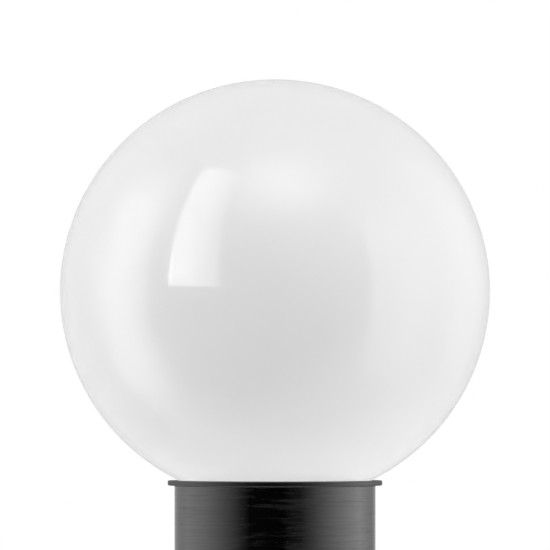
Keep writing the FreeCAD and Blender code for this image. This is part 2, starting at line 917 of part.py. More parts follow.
doc.recompute()
for item in doc.Objects:
    if "Invalid" in item.State or "Error" in item.State:
        raise RuntimeError(f"{item.Label} failed: {item.State}")
for node, item in parts.items():
    shape = item.Shape
    if shape.isNull() or not shape.isValid() or len(shape.Solids) != 1:
        raise RuntimeError(f"{node} isn't one valid solid")
for node, item in parts.items():
    item.Shape.exportStep(f"parts/{node}.step")
    low = item.Shape.BoundBox.ZMin
    high = item.Shape.BoundBox.ZMax
    print(f"{node:28s} volume {item.Shape.Volume:10.1f}  z {low:7.2f} to {high:7.2f}")
print(len(parts), "nodes")
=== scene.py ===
import json
import math

import bmesh
import bpy
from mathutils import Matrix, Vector

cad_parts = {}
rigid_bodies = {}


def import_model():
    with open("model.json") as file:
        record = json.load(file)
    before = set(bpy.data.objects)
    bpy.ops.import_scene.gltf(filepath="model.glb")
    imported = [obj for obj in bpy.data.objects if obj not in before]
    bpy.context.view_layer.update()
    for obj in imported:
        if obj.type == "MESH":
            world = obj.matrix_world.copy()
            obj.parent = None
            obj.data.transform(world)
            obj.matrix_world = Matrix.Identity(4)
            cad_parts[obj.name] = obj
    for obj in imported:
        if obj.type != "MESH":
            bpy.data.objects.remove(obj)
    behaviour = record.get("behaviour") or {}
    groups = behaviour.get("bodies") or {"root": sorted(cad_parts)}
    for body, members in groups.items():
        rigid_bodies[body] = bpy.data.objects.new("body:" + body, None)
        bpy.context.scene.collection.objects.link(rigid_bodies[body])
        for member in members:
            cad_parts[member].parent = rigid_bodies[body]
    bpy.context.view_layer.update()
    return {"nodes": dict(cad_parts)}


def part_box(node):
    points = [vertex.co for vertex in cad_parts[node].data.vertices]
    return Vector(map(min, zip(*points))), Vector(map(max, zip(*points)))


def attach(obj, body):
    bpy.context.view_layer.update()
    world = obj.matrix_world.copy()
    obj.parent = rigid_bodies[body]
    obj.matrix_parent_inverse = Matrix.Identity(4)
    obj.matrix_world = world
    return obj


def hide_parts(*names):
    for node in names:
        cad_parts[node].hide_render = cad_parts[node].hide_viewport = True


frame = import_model()

# ---------------------------------------------------------------- camera
# Long lens from straight ahead, level, with its axis near the globe's middle. The picture
# shows a little over 255 mm across at the light's axis and crops the collar.

CAMERA_DISTANCE = 8.0
PICTURE_WIDTH = 0.2558
PICTURE_MIDDLE_LEVEL = 0.1955
SENSOR_WIDTH = 36.0
FARTHEST_SEEN = 100.0

camera_data = bpy.data.cameras.new("camera")
camera_data.sensor_width = SENSOR_WIDTH
camera_data.lens = SENSOR_WIDTH * CAMERA_DISTANCE / PICTURE_WIDTH
camera_data.clip_end = FARTHEST_SEEN
camera = bpy.data.objects.new("camera", camera_data)
camera.location = (0.0, -CAMERA_DISTANCE, PICTURE_MIDDLE_LEVEL)
camera.rotation_euler = (math.radians(90), 0.0, 0.0)
bpy.context.scene.collection.objects.link(camera)
bpy.context.scene.camera = camera

# ---------------------------------------------------------------- collar
# Turned aluminium tube with a thin lip at its mouth, blackened and brushed round and round,
# drilled low down for the three grub screws.


class Signal:
    """A value in a material. Arithmetic on it adds Math nodes."""

    def __init__(self, bench, socket):
        self.bench = bench
        self.socket = socket

    def combine(self, operation, *values):
        """A Math node on the values given, or on this one alone."""
        values = values or (self,)
        return self.bench.node("ShaderNodeMath", {"operation": operation}, *values)

    def __add__(self, other):
        return self.combine("ADD", self, other)

    def __radd__(self, other):
        return self.combine("ADD", other, self)

    def __sub__(self, other):
        return self.combine("SUBTRACT", self, other)

    def __rsub__(self, other):
        return self.combine("SUBTRACT", other, self)

    def __mul__(self, other):
        return self.combine("MULTIPLY", self, other)

    def __rmul__(self, other):
        return self.combine("MULTIPLY", other, self)

    def __truediv__(self, other):
        return self.combine("DIVIDE", self, other)

    def __rtruediv__(self, other):
        return self.combine("DIVIDE", other, self)

    def __pow__(self, other):
        return self.combine("POWER", self, other)


class Bench:
    """A node tree and a short way of adding to it."""

    def __init__(self, tree):
        self.tree = tree

    def node(self, kind, settings, *values, output=0, **named):
        """Add a node: settings first, then its sockets by order or by name."""
        added = self.tree.nodes.new(kind)
        for word, setting in settings.items():
            if word == "stops":
                self.set_stops(added.color_ramp, setting)
            else:
                setattr(added, word, setting)
        pairs = list(enumerate(values)) + [(k.replace("_", " "), v) for k, v in named.items()]
        for key, given in pairs:
            if given is None:
                continue
            if isinstance(given, Signal):
                self.tree.links.new(given.socket, added.inputs[key])
            else:
                added.inputs[key].default_value = given
        return Signal(self, added.outputs[output])

    def ramp(self, value, start, stop, first=0.0, last=1.0):
        """A smooth step from first to last as the value goes from start to stop."""
        settings = {"interpolation_type": "SMOOTHSTEP"}
        ends = {"From_Min": start, "From_Max": stop, "To_Min": first, "To_Max": last}
        return self.node("ShaderNodeMapRange", settings, value, **ends)

    def set_stops(self, ramp, stops):
        """Give a colour ramp these stops alone, each a position and a colour."""
        while len(ramp.elements) > 1:
            ramp.elements.remove(ramp.elements[-1])
        ramp.elements[0].position, ramp.elements[0].color = stops[0]
        for position, colour in stops[1:]:
            ramp.elements.new(position).color = colour


class Finish(Bench):
    """A material built on one Principled shader."""

    def __init__(self, name, **constants):
        self.material = bpy.data.materials.new(name)
        self.material.use_nodes = True
        super().__init__(self.material.node_tree)
        self.shader = self.tree.nodes["Principled BSDF"]
        for words, number in constants.items():
            self.shader.inputs[words.replace("_", " ")].default_value = number

    def place(self, stretch=(1.0, 1.0, 1.0)):
        """Object coordinates, each multiplied by a number of its own."""
        spots = self.node("ShaderNodeTexCoord", {}, output="Object")
        return self.node("ShaderNodeMapping", {}, Vector=spots, Scale=stretch)

    def noise(self, scale, detail, roughness):
        """Noise of one grain each way: scale is in cells a metre."""
        numbers = {"Scale": scale, "Detail": detail, "Roughness": roughness}
        return self.node("ShaderNodeTexNoise", {}, Vector=self.place(), **numbers)

    def lines(self, stretch, detail, roughness):
        """Noise drawn out into lines: stretch is in cells a metre along X, Y and Z."""
        numbers = {"Scale": 1.0, "Detail": detail, "Roughness": roughness}
        return self.node("ShaderNodeTexNoise", {}, Vector=self.place(stretch), **numbers)

    def mix(self, factor, first, second):
        """Blend two colours, given as red, green and blue or as signals."""
        skipped = [None] * 5
        ends = [c if isinstance(c, Signal) else (*c, 1.0) for c in (first, second)]
        return self.node("ShaderNodeMix", {"data_type": "RGBA"}, factor, *skipped, *ends, output=2)

    def feed(self, **values):
        """Link what varies over the surface into the shader."""
        for words, given in values.items():
            self.tree.links.new(given.socket, self.shader.inputs[words.replace("_", " ")])

    def bump(self, height, strength, distance):
        """A normal that follows a height: distance is its depth in metres."""
        return self.node(
            "ShaderNodeBump", {}, Height=height, Strength=strength, Distance=distance
        )


def select_none():
    """Nothing selected, nothing active."""
    bpy.ops.object.select_all(action="DESELECT")
    bpy.context.view_layer.objects.active = None


def turned(name, stations, segments, solid=False):
    """Extrude a circle from station to station, each a radius and a level, as on a lathe."""
    select_none()
    radius, level = stations[0]
    fill = "NGON" if solid else "NOTHING"
    bpy.ops.mesh.primitive_circle_add(
        vertices=segments, radius=radius, fill_type=fill, location=(0, 0, level)
    )
    piece = bpy.context.object
    piece.name = name
    bpy.ops.object.transform_apply(location=True, rotation=True, scale=True)
    bpy.ops.object.mode_set(mode="EDIT")
    bpy.ops.mesh.select_all(action="SELECT")
    for new_radius, new_level in stations[1:]:
        lift = (0.0, 0.0, new_level - level)
        bpy.ops.mesh.extrude_region_move(TRANSFORM_OT_translate={"value": lift})
        ratio = new_radius / radius
        if ratio != 1.0:
            middle = (0.0, 0.0, new_level)
            bpy.ops.transform.resize(value=(ratio, ratio, 1.0), center_override=middle)
        radius, level = new_radius, new_level
    if not solid:
        bpy.ops.mesh.select_mode(type="EDGE")
        bpy.ops.mesh.select_all(action="DESELECT")
        bpy.ops.mesh.select_non_manifold()
        bpy.ops.mesh.bridge_edge_loops()
        bpy.ops.mesh.select_mode(type="VERT")
    bpy.ops.mesh.select_all(action="SELECT")
    bpy.ops.mesh.normals_make_consistent(inside=False)
    bpy.ops.object.mode_set(mode="OBJECT")
    return piece


def drilled(piece, drills):
    """Take round or many-sided drills out of a piece: sides, radius, start, direction, depth."""
    for sides, radius, start, heading, depth in drills:
        select_none()
        slant = heading.to_track_quat("Z", "Y").to_euler()
        bpy.ops.mesh.primitive_cylinder_add(
            vertices=sides,
            radius=radius,
            depth=depth,
            location=start + heading * depth / 2,
            rotation=slant,
        )
        drill = bpy.context.object
        cut = piece.modifiers.new("cut", "BOOLEAN")
        cut.operation = "DIFFERENCE"
        cut.object = drill
        bpy.context.view_layer.objects.active = piece
        bpy.ops.object.modifier_apply(modifier="cut")
        bpy.data.objects.remove(drill)


SHARP_ANGLE = 30.0


def bevelled(piece, width, steps):
    """Round the sharp edges and apply the modifier."""
    bevel = piece.modifiers.new("bevel", "BEVEL")
    bevel.width = width
    bevel.segments = steps
    bevel.angle_limit = math.radians(SHARP_ANGLE)
    bevel.harden_normals = False
    bpy.context.view_layer.objects.active = piece
    bpy.ops.object.modifier_apply(modifier="bevel")


def smooth(piece, angle=35.0):
    """Smooth shading with creases kept at sharp edges."""
    select_none()
    piece.select_set(True)
    bpy.context.view_layer.objects.active = piece
    bpy.ops.object.shade_smooth_by_angle(angle=math.radians(angle))


def dress(piece, finish):
    """Give a piece one material."""
    piece.data.materials.clear()
    piece.data.materials.append(finish.material)


# Where the brush was pressed harder: patches round the tube, and how far they are turned.
PRESSED_PATCHES = 3.0
PRESSED_TURN = 0.96


def brushed_black():
    """Blackened aluminium with fine lines that run round the piece, unevenly pressed."""
    finish = Finish("brushed_black", Metallic=1.0, Anisotropic=1.0, Anisotropic_Rotation=0.25)
    finish.shader.inputs["Specular Tint"].default_value = (0.68, 0.68, 0.68, 1.0)
    fine = finish.lines(stretch=(25.0, 25.0, 1200.0), detail=3.0, roughness=0.6)
    streaks = finish.lines(stretch=(40.0, 40.0, 550.0), detail=4.0, roughness=0.7)
    clumps = finish.lines(stretch=(20.0, 20.0, 120.0), detail=2.0, roughness=0.5)
    cloud = finish.noise(scale=45.0, detail=3.0, roughness=0.5)
    x, y = (
        finish.node("ShaderNodeSeparateXYZ", {}, finish.place(), output=axis) for axis in range(2)
    )
    around = x.combine("ARCTAN2", x, y * -1.0)
    lobes = around.combine("COSINE", around * PRESSED_PATCHES - PRESSED_TURN)
    pressed = finish.ramp(lobes, start=0.45, stop=1.0)
    haze = finish.ramp(streaks + pressed * (clumps * 0.22), start=0.52, stop=0.66)
    tone = finish.mix(fine, (0.14, 0.14, 0.141), (0.21, 0.21, 0.211))
    finish.feed(
        Base_Color=tone,
        Roughness=0.06 + haze * 0.26 + fine * 0.05 + cloud * 0.02,
        Normal=finish.bump(fine, strength=0.1, distance=0.00002),
    )
    return finish


def turned_black():
    """The lip, left as the lathe cut it and blackened: duller, with no brushing."""
    finish = Finish("turned_black", Metallic=1.0)
    finish.shader.inputs["Specular Tint"].default_value = (0.6, 0.6, 0.6, 1.0)
    cuts = finish.lines(stretch=(30.0, 30.0, 3000.0), detail=3.0, roughness=0.6)
    cloud = finish.noise(scale=60.0, detail=3.0, roughness=0.5)
    finish.feed(
        Base_Color=finish.mix(cloud, (0.13, 0.13, 0.131), (0.17, 0.17, 0.171)),
        Roughness=0.3 + cloud * 0.1 + cuts * 0.08,
        Normal=finish.bump(cuts, strength=0.12, distance=0.00003),
    )
    return finish


collar_foot, collar_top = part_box("collar")
COLLAR_HEIGHT = collar_top.z - collar_foot.z
LIP_RADIUS = collar_top.x
LIP_THICKNESS = 0.0024
TUBE_RADIUS = 0.04675
TUBE_BORE = 0.04475
MOUTH_CHAMFER = 0.001
COLLAR_EDGE = 0.0006
COLLAR_SEGMENTS = 192
GRUB_HEIGHT = 0.02
GRUB_ANGLES = (90, 210, 330)
GRUB_HOLE = 0.0045
GRUB_HOLE_SIDES = 48
GRUB_DRILL_START = 0.04
GRUB_DRILL_DEPTH = 0.012

collar = turned(
    "collar_skin",
    [
        (TUBE_BORE, 0.0),
        (TUBE_RADIUS, 0.0),
        (TUBE_RADIUS, COLLAR_HEIGHT - LIP_THICKNESS),
        (LIP_RADIUS, COLLAR_HEIGHT - LIP_THICKNESS),
        (LIP_RADIUS, COLLAR_HEIGHT),
        (TUBE_BORE + MOUTH_CHAMFER, COLLAR_HEIGHT),
        (TUBE_BORE, COLLAR_HEIGHT - MOUTH_CHAMFER),
    ],
    COLLAR_SEGMENTS,
)
bevelled(collar, COLLAR_EDGE, steps=4)
outward = [Vector((math.cos(a), math.sin(a), 0)) for a in map(math.radians, GRUB_ANGLES)]
up_to_grub = Vector((0, 0, GRUB_HEIGHT))
grub_drills = [
    (GRUB_HOLE_SIDES, GRUB_HOLE, up_to_grub + way * GRUB_DRILL_START, way, GRUB_DRILL_DEPTH)
    for way in outward
]
drilled(collar, grub_drills)
smooth(collar)

# The lip's own faces are those past the tube's outside and those at the collar's top.
PAST_TUBE = TUBE_RADIUS + 0.0001
NEAR_TOP = COLLAR_HEIGHT - 0.0005
dress(collar, brushed_black())
collar.data.materials.append(turned_black().material)
for face in collar.data.polygons:
    off_axis = math.hypot(face.center.x, face.center.y)
    if off_axis > PAST_TUBE or face.center.z > NEAR_TOP:
        face.material_index = 1
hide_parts("collar")
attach(collar, "collar")

# ---------------------------------------------------------------- thread ring
# Aluminium ring pressed into the collar's mouth, with the raised thread that the globe's neck
# screws into. Machined from a casting, so it is bright with fine turning lines.


def machined_aluminium():
    """Bright aluminium with turning lines and a few dull patches."""
    finish = Finish("machined_aluminium", Metallic=1.0)
    cuts = finish.lines(stretch=(25.0, 25.0, 3500.0), detail=3.0, roughness=0.6)
    cloud = finish.noise(scale=90.0, detail=4.0, roughness=0.6)
    finish.feed(
        Base_Color=finish.mix(cloud, (0.62, 0.63, 0.64), (0.78, 0.79, 0.8)),
        Roughness=0.24 + cuts * 0.14 + cloud * 0.08,
        Normal=finish.bump(cuts, strength=0.2, distance=0.00003),
    )
    return finish


def coat(finish, node):
    """Give a CAD piece a finish in the slots it has."""
    for material_slot in frame["nodes"][node].material_slots:
        material_slot.material = finish.material


coat(machined_aluminium(), "thread_ring")

# ---------------------------------------------------------------- globe gasket
# Moulded rubber ring that lies on the thread ring and keeps rain out under the globe's
# shoulder. It is soft black rubber with a bloom of dust.


def rubber(name, tone, dust):
    """Matt rubber, finely grained, with dust in patches."""
    finish = Finish(name, IOR=1.45)
    grain = finish.noise(scale=2600.0, detail=3.0, roughness=0.6)
    cloud = finish.noise(scale=130.0, detail=5.0, roughness=0.65)
    finish.feed(
        Base_Color=finish.mix(cloud ** 2.0, tone, dust),
        Roughness=0.6 + cloud * 0.2,
        Normal=finish.bump(grain, strength=0.35, distance=0.00003),
    )
    return finish


# Points nearer than the first are one point, and faces bent less than the second are one face.
SAME_SPOT = 1e-6
SAME_FACE = math.radians(0.5)
LARGEST_FACE_WINS = 100


def worked(node, name, edge, steps=2):
    """A merged copy of a CAD piece with its sharp edges broken, in that piece's place."""
    select_none()
    source = frame["nodes"][node]
    piece = bpy.data.objects.new(name, source.data.copy())
    bpy.context.scene.collection.objects.link(piece)
    piece.select_set(True)
    bpy.context.view_layer.objects.active = piece
    if piece.data.has_custom_normals:
        bpy.ops.mesh.customdata_custom_splitnormals_clear()
    bpy.ops.object.mode_set(mode="EDIT")
    bpy.ops.mesh.select_all(action="SELECT")
    bpy.ops.mesh.remove_doubles(threshold=SAME_SPOT)
    bpy.ops.mesh.dissolve_limited(angle_limit=SAME_FACE)
    bpy.ops.object.mode_set(mode="OBJECT")
    bevelled(piece, edge, steps)
    smooth(piece)
    flat = piece.modifiers.new("flat", "WEIGHTED_NORMAL")
    flat.weight = LARGEST_FACE_WINS
    flat.keep_sharp = True
    bpy.ops.object.modifier_apply(modifier="flat")
    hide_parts(node)
    return piece


def fitted(piece, finish, body):
    """Dress a piece, and tie it to its body."""
    dress(piece, finish)
    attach(piece, body)


GASKET_EDGE = 0.0003

gasket = worked("globe_gasket", "globe_gasket_ring", GASKET_EDGE, steps=3)
dusty = rubber("gasket_rubber", (0.02, 0.02, 0.021), (0.09, 0.088, 0.085))
fitted(gasket, dusty, "gasket")

# ---------------------------------------------------------------- post sleeve
# Sand-cast aluminium sleeve inside the collar's foot. The post slides up its bore to the
# inward stop, and its thick wall is tapped for the three grub screws.


def cast_aluminium():
    """Grey cast aluminium with a sandy skin and small pits."""
    finish = Finish("cast_aluminium", Metallic=1.0)
    sand = finish.noise(scale=1100.0, detail=4.0, roughness=0.65)
    cloud = finish.noise(scale=70.0, detail=4.0, roughness=0.55)
    pits = finish.node("ShaderNodeTexVoronoi", {}, Vector=finish.place(), Scale=420.0)
    hollow = finish.node("ShaderNodeMapRange", {}, pits, From_Min=0.0, From_Max=0.25)
    finish.feed(
        Base_Color=finish.mix(cloud, (0.4, 0.405, 0.41), (0.58, 0.585, 0.59)),
        Roughness=0.42 + sand * 0.22,
        Normal=finish.bump(sand * 0.6 + hollow * 0.4, strength=0.45, distance=0.00008),
    )
    return finish


SLEEVE_EDGE = 0.0004

sleeve = worked("post_sleeve", "post_sleeve_casting", SLEEVE_EDGE)
fitted(sleeve, cast_aluminium(), "collar")

# ---------------------------------------------------------------- grub screws and pads
# Three M8 socket screws, zinc plated, that press a brass pad each against the post. Each has
# its thread cut, its ends chamfered and a hexagon socket for a 4 mm key.


def zinc_plate():
    """Zinc-plated steel: bright, faintly warm and cool in patches, lightly scuffed."""
    finish = Finish("zinc_plate", Metallic=1.0)
    cloud = finish.noise(scale=160.0, detail=4.0, roughness=0.6)
    scuffs = finish.lines(stretch=(300.0, 900.0, 300.0), detail=3.0, roughness=0.7)
    finish.feed(
        Base_Color=finish.mix(cloud, (0.56, 0.58, 0.6), (0.72, 0.71, 0.66)),
        Roughness=0.24 + cloud * 0.12 + scuffs * 0.12,
        Normal=finish.bump(scuffs, strength=0.15, distance=0.00002),
    )
    return finish


def brass_metal():
    """Yellow brass, tarnished brown in patches."""
    finish = Finish("brass_metal", Metallic=1.0)
    cloud = finish.noise(scale=210.0, detail=5.0, roughness=0.6)
    finish.feed(
        Base_Color=finish.mix(cloud, (0.5, 0.34, 0.13), (0.8, 0.6, 0.28)),
        Roughness=0.2 + cloud * 0.2,
        Normal=finish.bump(cloud, strength=0.1, distance=0.00003),
    )
    return finish


GRUB_RADIUS = 0.004
GRUB_PITCH = 0.00125
GRUB_GROOVE = 0.0007
GRUB_CREST = 1.3
GRUB_CHAMFER = 0.0009
GRUB_START = 0.0407
GRUB_LENGTH = 0.00575
GRUB_RINGS = 50
GRUB_SEGMENTS = 48
GRUB_KEY = 0.004
GRUB_KEY_DEPTH = 0.0035
KEY_SIDES = 6
KEY_DRILL_DEPTH = 0.008
PAD_EDGE = 0.00025

ring_gap = GRUB_LENGTH / GRUB_RINGS
grub_stations = [(GRUB_RADIUS, ring * ring_gap) for ring in range(GRUB_RINGS + 1)]
pattern_screw = turned("grub_screw_pattern", grub_stations, GRUB_SEGMENTS, solid=True)
for vert in pattern_screw.data.vertices:
    part_turn = math.atan2(vert.co.y, vert.co.x) / math.tau
    part_pitch = (vert.co.z / GRUB_PITCH - part_turn) % 1.0
    crest = min(1.0, abs(2 * part_pitch - 1) * GRUB_CREST)
    from_end = min(vert.co.z, GRUB_LENGTH - vert.co.z)
    in_thread = GRUB_RADIUS - GRUB_GROOVE * (1 - crest)
    cut_radius = min(in_thread, GRUB_RADIUS - GRUB_CHAMFER + from_end)
    vert.co.x *= cut_radius / GRUB_RADIUS
    vert.co.y *= cut_radius / GRUB_RADIUS
socket_floor = Vector((0, 0, GRUB_LENGTH - GRUB_KEY_DEPTH))
key_corner = GRUB_KEY / 2 / math.cos(math.pi / KEY_SIDES)
key_drill = (KEY_SIDES, key_corner, socket_floor, Vector((0, 0, 1)), KEY_DRILL_DEPTH)
drilled(pattern_screw, [key_drill])
smooth(pattern_screw)

zinc = zinc_plate()
brass = brass_metal()
for number, way in enumerate(outward, start=1):
    lay_over = way.to_track_quat("Z", "Y").to_matrix().to_4x4()
    grub = bpy.data.objects.new(f"grub_screw_{number}_cut", pattern_screw.data.copy())
    bpy.context.scene.collection.objects.link(grub)
    grub.data.transform(lay_over)
    for vert in grub.data.vertices:
        vert.co += up_to_grub + way * GRUB_START
    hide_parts(f"grub_screw_{number}")
    fitted(grub, zinc, f"grub_{number}")
    pad = worked(f"grub_pad_{number}", f"grub_pad_{number}_turned", PAD_EDGE)
    fitted(pad, brass, f"pad_{number}")
bpy.data.objects.remove(pattern_screw)

# ---------------------------------------------------------------- gear plate
# Zinc-plated steel plate that closes the collar above the sleeve and carries the electrical
# parts, held down by three cheese-head screws.

PLATE_EDGE = 0.00025
PLATE_SCREW_EDGE = 0.0002
PLATE_SCREWS = (1, 2, 3)

plate = worked("gear_plate", "gear_plate_pressing", PLATE_EDGE)
fitted(plate, zinc, "collar")
for number in PLATE_SCREWS:
    screw = worked(f"plate_screw_{number}", f"plate_screw_{number}_head", PLATE_SCREW_EDGE)
    fitted(screw, zinc, "collar")

# ---------------------------------------------------------------- lampholder
# Glazed porcelain lampholder screwed down through two ears, with a rolled nickel-plated
# thread shell, a brass centre contact and two brass wiring terminals.


def porcelain_glaze():
    """White porcelain under a wavy, glossy glaze, with a few specks."""
    finish = Finish("porcelain_glaze", IOR=1.5, Coat_Weight=0.5, Coat_Roughness=0.04)
    wave = finish.noise(scale=120.0, detail=2.0, roughness=0.4)
    dots = finish.node("ShaderNodeTexVoronoi", {}, Vector=finish.place(), Scale=260.0)
    specks = finish.node("ShaderNodeMapRange", {}, dots, From_Min=0.08, From_Max=0.04)
    tone = finish.mix(wave, (0.82, 0.81, 0.77), (0.88, 0.87, 0.84))
    finish.feed(
        Base_Color=finish.mix(specks * 0.35, tone, (0.3, 0.24, 0.18)),
        Roughness=0.1 + wave * 0.1,
        Normal=finish.bump(wave, strength=0.15, distance=0.0002),
    )
    return finish


def nickel_plate():
    """Nickel-plated sheet, a little yellow, with handling marks."""
    finish = Finish("nickel_plate", Metallic=1.0)
    cloud = finish.noise(scale=240.0, detail=4.0, roughness=0.6)
    marks = finish.lines(stretch=(200.0, 200.0, 2200.0), detail=3.0, roughness=0.6)
    finish.feed(
        Base_Color=finish.mix(cloud, (0.62, 0.6, 0.56), (0.76, 0.74, 0.7)),
        Roughness=0.14 + cloud * 0.14 + marks * 0.08,
        Normal=finish.bump(marks, strength=0.1, distance=0.00002),
    )
    return finish


PORCELAIN_EDGE = 0.0006
LEAF_EDGE = 0.00015
TERMINAL_EDGE = 0.0003
HOLDER_SCREW_EDGE = 0.00025

holder = worked("lampholder_body", "lampholder_porcelain", PORCELAIN_EDGE, steps=3)
fitted(holder, porcelain_glaze(), "collar")
nickel = nickel_plate()
coat(nickel, "lampholder_shell")
leaf = worked("lampholder_contact", "lampholder_contact_leaf", LEAF_EDGE)
fitted(leaf, brass, "collar")
for hand in ("left", "right"):
    terminal = worked(f"lampholder_terminal_{hand}", f"lampholder_post_{hand}", TERMINAL_EDGE)
    fitted(terminal, brass, "collar")
    screw = worked(f"lampholder_screw_{hand}", f"lampholder_screw_{hand}_head", HOLDER_SCREW_EDGE)
    fitted(screw, zinc, "collar")

# ---------------------------------------------------------------- terminal block
# Two-pole block moulded in natural nylon, with a brass clamp tube and two clamp screws for
# each pole, held to the gear plate by one screw between the poles.


def nylon():
    """Natural nylon, waxy and finely eroded by the mould."""
    finish = Finish("nylon", IOR=1.53)
    grain = finish.noise(scale=1900.0, detail=3.0, roughness=0.5)
    cloud = finish.noise(scale=90.0, detail=3.0, roughness=0.5)
    finish.feed(
        Base_Color=finish.mix(cloud, (0.66, 0.64, 0.56), (0.76, 0.74, 0.67)),
        Roughness=0.38 + cloud * 0.12,
        Normal=finish.bump(grain, strength=0.25, distance=0.00002),
    )
    return finish


BLOCK_EDGE = 0.0004
BLOCK_SCREW_EDGE = 0.0002
CLAMP_EDGE = 0.0002
PINCH_EDGE = 0.00012

housing = worked("terminal_block", "terminal_block_moulding", BLOCK_EDGE, steps=3)
fitted(housing, nylon(), "collar")
screw = worked("terminal_block_screw", "terminal_block_screw_head", BLOCK_SCREW_EDGE)
fitted(screw, zinc, "collar")
for hand in ("left", "right"):
    clamp = worked(f"terminal_clamp_{hand}", f"terminal_clamp_{hand}_tube", CLAMP_EDGE)
    fitted(clamp, brass, "collar")
    for end in ("near", "far"):
        pinch = worked(f"terminal_screw_{hand}_{end}", f"clamp_screw_{hand}_{end}", PINCH_EDGE)
        fitted(pinch, zinc, "collar")

# ---------------------------------------------------------------- wires
# Two short stranded wires from the block to the lampholder, brown and blue, in soft glossy
# insulation.


def insulation(name, dark, light):
    """Extruded soft insulation with a faint lengthwise grain."""
    finish = Finish(name, IOR=1.52)
    grain = finish.lines(stretch=(1500.0, 60.0, 1500.0), detail=3.0, roughness=0.6)
    cloud = finish.noise(scale=180.0, detail=3.0, roughness=0.5)
    finish.feed(
        Base_Color=finish.mix(cloud, dark, light),
        Roughness=0.3 + cloud * 0.15,
        Normal=finish.bump(grain, strength=0.2, distance=0.00002),
    )
    return finish


coat(insulation("brown_insulation", (0.09, 0.035, 0.015), (0.15, 0.06, 0.025)), "wire_live")
coat(insulation("blue_insulation", (0.01, 0.07, 0.3), (0.02, 0.13, 0.45)), "wire_neutral")

# ---------------------------------------------------------------- grommet
# Moulded black rubber grommet, snapped into a hole in the gear plate by the groove round it,
# for the supply cable to come up through.

GROMMET_EDGE = 0.0005

bush = worked("grommet", "grommet_bush", GROMMET_EDGE, steps=3)
clean = rubber("black_rubber", (0.012, 0.012, 0.013), (0.05, 0.05, 0.05))
fitted(bush, clean, "collar")

# ---------------------------------------------------------------- earth terminal
# Turned brass cheese-head screw in the gear plate, with a zinc-plated steel washer under its
# head that would hold the earth wire down.

WASHER_EDGE = 0.00015
EARTH_SCREW_EDGE = 0.00025

washer = worked("earth_washer", "earth_washer_ring", WASHER_EDGE)
fitted(washer, zinc, "collar")
screw = worked("earth_screw", "earth_screw_head", EARTH_SCREW_EDGE)
fitted(screw, brass, "collar")

# ---------------------------------------------------------------- lamp
# Screw-in lamp: nickel-plated threaded cap, black glass insulator and brass contact below, a
# white moulded body with an aluminium board across it, and a frosted dome.


def black_glass():
    """Fused black glass, smooth, with a few ripples."""
    finish = Finish("black_glass", IOR=1.52)
    ripple = finish.noise(scale=300.0, detail=2.0, roughness=0.5)
    finish.feed(
        Base_Color=finish.mix(ripple, (0.008, 0.008, 0.011), (0.02, 0.02, 0.028)),
        Roughness=0.05 + ripple * 0.08,
        Normal=finish.bump(ripple, strength=0.1, distance=0.0001),
    )
    return finish


def moulded_white():
    """White moulded plastic, satin, with fine mould grain."""
    finish = Finish("moulded_white", IOR=1.5)
    grain = finish.noise(scale=1500.0, detail=3.0, roughness=0.5)
    cloud = finish.noise(scale=60.0, detail=3.0, roughness=0.5)
    finish.feed(
        Base_Color=finish.mix(cloud, (0.82, 0.82, 0.8), (0.88, 0.88, 0.86)),
        Roughness=0.24 + cloud * 0.1,
        Normal=finish.bump(grain, strength=0.15, distance=0.00002),
    )
    return finish


def frosted_dome():
    """Frosted white plastic dome."""
    finish = Finish("frosted_dome", IOR=1.49, Subsurface_Weight=0.3, Subsurface_Scale=0.004)
    frost = finish.noise(scale=2400.0, detail=4.0, roughness=0.6)
    cloud = finish.noise(scale=50.0, detail=3.0, roughness=0.5)
    finish.feed(
        Base_Color=finish.mix(cloud, (0.88, 0.88, 0.86), (0.93, 0.93, 0.91)),
        Roughness=0.5 + cloud * 0.12,
        Normal=finish.bump(frost, strength=0.2, distance=0.00002),
    )
    return finish


def board_mask():
    """White solder mask over an aluminium board, with a faint orange peel."""
    finish = Finish("board_mask", IOR=1.5)
    peel = finish.noise(scale=700.0, detail=3.0, roughness=0.5)
    finish.feed(
        Base_Color=finish.mix(peel, (0.78, 0.79, 0.79), (0.85, 0.86, 0.86)),
        Roughness=0.3 + peel * 0.1,
        Normal=finish.bump(peel, strength=0.15, distance=0.00003),
    )
    return finish


def emitter():
    """Silicone over yellow phosphor."""
    finish = Finish("emitter", IOR=1.41)
    cloud = finish.noise(scale=900.0, detail=3.0, roughness=0.5)
    finish.feed(
        Base_Color=finish.mix(cloud, (0.82, 0.62, 0.08), (0.9, 0.74, 0.16)),
        Roughness=0.25 + cloud * 0.15,
        Normal=finish.bump(cloud, strength=0.1, distance=0.00003),
    )
    return finish


PIP_EDGE = 0.0002
INSULATOR_EDGE = 0.0004
LAMP_BODY_EDGE = 0.0003
BOARD_EDGE = 0.0002

coat(nickel, "lamp_cap")
pip = worked("lamp_contact", "lamp_contact_pip", PIP_EDGE)
fitted(pip, brass, "lamp_tip")
button = worked("lamp_insulator", "lamp_insulator_glass", INSULATOR_EDGE, steps=3)
fitted(button, black_glass(), "lamp")
shroud = worked("lamp_body", "lamp_body_moulding", LAMP_BODY_EDGE)
fitted(shroud, moulded_white(), "lamp")
coat(frosted_dome(), "lamp_diffuser")
board = worked("lamp_board", "lamp_board_disc", BOARD_EDGE)
mask = board_mask()
fitted(board, mask, "lamp")

